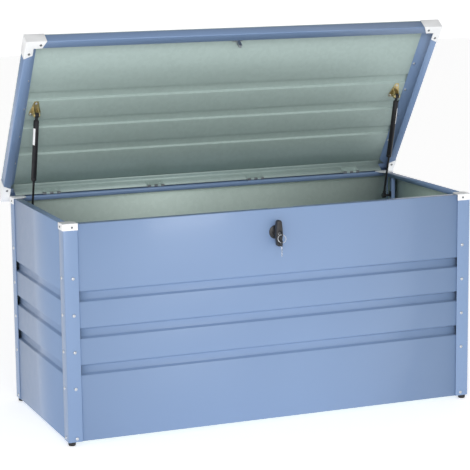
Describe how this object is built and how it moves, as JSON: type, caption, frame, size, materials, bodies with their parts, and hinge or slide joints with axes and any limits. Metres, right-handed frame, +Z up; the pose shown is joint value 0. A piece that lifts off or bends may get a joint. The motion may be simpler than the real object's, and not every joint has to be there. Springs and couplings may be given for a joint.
{
  "type": "deck storage box",
  "caption": "Sheet-steel outdoor storage chest with pressed channels, a hinged lid on gas struts, moulded corner caps and a keyed T-handle lock.",
  "frame": {"origin": "on the ground, in the middle of the object's outline with the lid open", "axes": "+X to the right along the front, +Y to the back, +Z up"},
  "size_m": [1.372, 0.6743, 1.1841],
  "materials": {
    "blue_paint": "smooth satin powder coat",
    "galvanised_sheet": "dull galvanised",
    "white_plastic": "smooth moulded",
    "black_rubber": "matt",
    "black_plastic": "satin",
    "black_steel": "semi-gloss black",
    "zinc_plate": "bright zinc plated",
    "yellow_zinc": "yellow zinc plated",
    "bright_steel": "polished"
  },
  "bodies": {
    "box": {"front_panel": "blue_paint", "rear_panel": "blue_paint", "left_panel": "blue_paint", "right_panel": "blue_paint", "floor_panel": "galvanised_sheet", "post_front_left": "blue_paint", "post_front_right": "blue_paint", "post_rear_left": "blue_paint", "post_rear_right": "blue_paint", "angle_front_left": "blue_paint", "angle_front_right": "blue_paint", "angle_rear_left": "blue_paint", "angle_rear_right": "blue_paint", "cap_front_left": "white_plastic", "cap_front_right": "white_plastic", "cap_rear_left": "white_plastic", "cap_rear_right": "white_plastic", "foot_front_left": "black_rubber", "foot_front_right": "black_rubber", "foot_rear_left": "black_rubber", "foot_rear_right": "black_rubber", "post_screws": "zinc_plate", "cap_screws": "zinc_plate", "hinge_box_leaves": "zinc_plate", "hinge_pins": "zinc_plate", "hinge_box_rivets": "zinc_plate", "strut_plate_left": "black_steel", "strut_plate_right": "black_steel", "plate_screws": "zinc_plate", "lock_body": "black_plastic", "lock_nut": "zinc_plate"},
    "lid": {"lid_sheet": "blue_paint", "lid_rail_front": "blue_paint", "lid_rail_rear": "blue_paint", "lid_rail_left": "blue_paint", "lid_rail_right": "blue_paint", "lid_hinge_angle": "galvanised_sheet", "lid_cap_front_left": "white_plastic", "lid_cap_front_right": "white_plastic", "lid_cap_rear_left": "white_plastic", "lid_cap_rear_right": "white_plastic", "lid_cap_screws": "zinc_plate", "lid_rivets": "zinc_plate", "lock_keeper": "zinc_plate", "hinge_lid_leaves": "zinc_plate", "hinge_lid_rivets": "zinc_plate", "strut_bracket_left": "yellow_zinc", "strut_bracket_right": "yellow_zinc", "bracket_screws": "zinc_plate"},
    "handle": {"lock_handle": "black_plastic", "lock_hook": "zinc_plate"},
    "key": {"lock_plug": "bright_steel", "key": "black_plastic"},
    "spare_key": {"key_ring": "bright_steel", "spare_key": "black_plastic"},
    "cylinder_left": {"strut_cylinder_left": "black_steel"},
    "cylinder_right": {"strut_cylinder_right": "black_steel"},
    "rod_left": {"strut_rod_left": "black_steel"},
    "rod_right": {"strut_rod_right": "black_steel"}
  },
  "joints": [
    {"name": "lid_hinge", "type": "hinge", "parent": "box", "child": "lid", "pos_m": [0, 0.28762, 0.661], "axis": [1, 0, 0], "range_deg": [0, 56]},
    {"name": "strut_tilt_left", "type": "hinge", "parent": "lid", "child": "cylinder_left", "pos_m": [-0.612, 0.12698, 0.92778], "axis": [1, 0, 0], "range_deg": [-1.8, 0]},
    {"name": "strut_slide_left", "type": "slide", "parent": "cylinder_left", "child": "rod_left", "axis": [0, -0.253, 0.9675], "range_m": [0, 0.098]},
    {"name": "strut_tilt_right", "type": "hinge", "parent": "lid", "child": "cylinder_right", "pos_m": [0.612, 0.12698, 0.92778], "axis": [1, 0, 0], "range_deg": [-1.8, 0]},
    {"name": "strut_slide_right", "type": "slide", "parent": "cylinder_right", "child": "rod_right", "axis": [0, -0.253, 0.9675], "range_m": [0, 0.098]},
    {"name": "handle_turn", "type": "hinge", "parent": "box", "child": "handle", "pos_m": [0, -0.28188, 0.587], "axis": [0, -1, 0], "range_deg": [0, 90]},
    {"name": "key_turn", "type": "hinge", "parent": "handle", "child": "key", "pos_m": [0, -0.31488, 0.587], "axis": [0, 1, 0], "range_deg": [0, 90]},
    {"name": "spare_key_swing", "type": "hinge", "parent": "key", "child": "spare_key", "pos_m": [0, -0.32988, 0.587], "axis": [1, 0, 0], "range_deg": [-60, 5]}
  ],
  "couplings": [
    {"joint": "strut_tilt_left", "follows": "lid_hinge", "ratio": -0.0291},
    {"joint": "strut_slide_left", "follows": "lid_hinge", "m_per_rad": 0.09953},
    {"joint": "strut_tilt_right", "follows": "lid_hinge", "ratio": -0.0291},
    {"joint": "strut_slide_right", "follows": "lid_hinge", "m_per_rad": 0.09953}
  ]
}
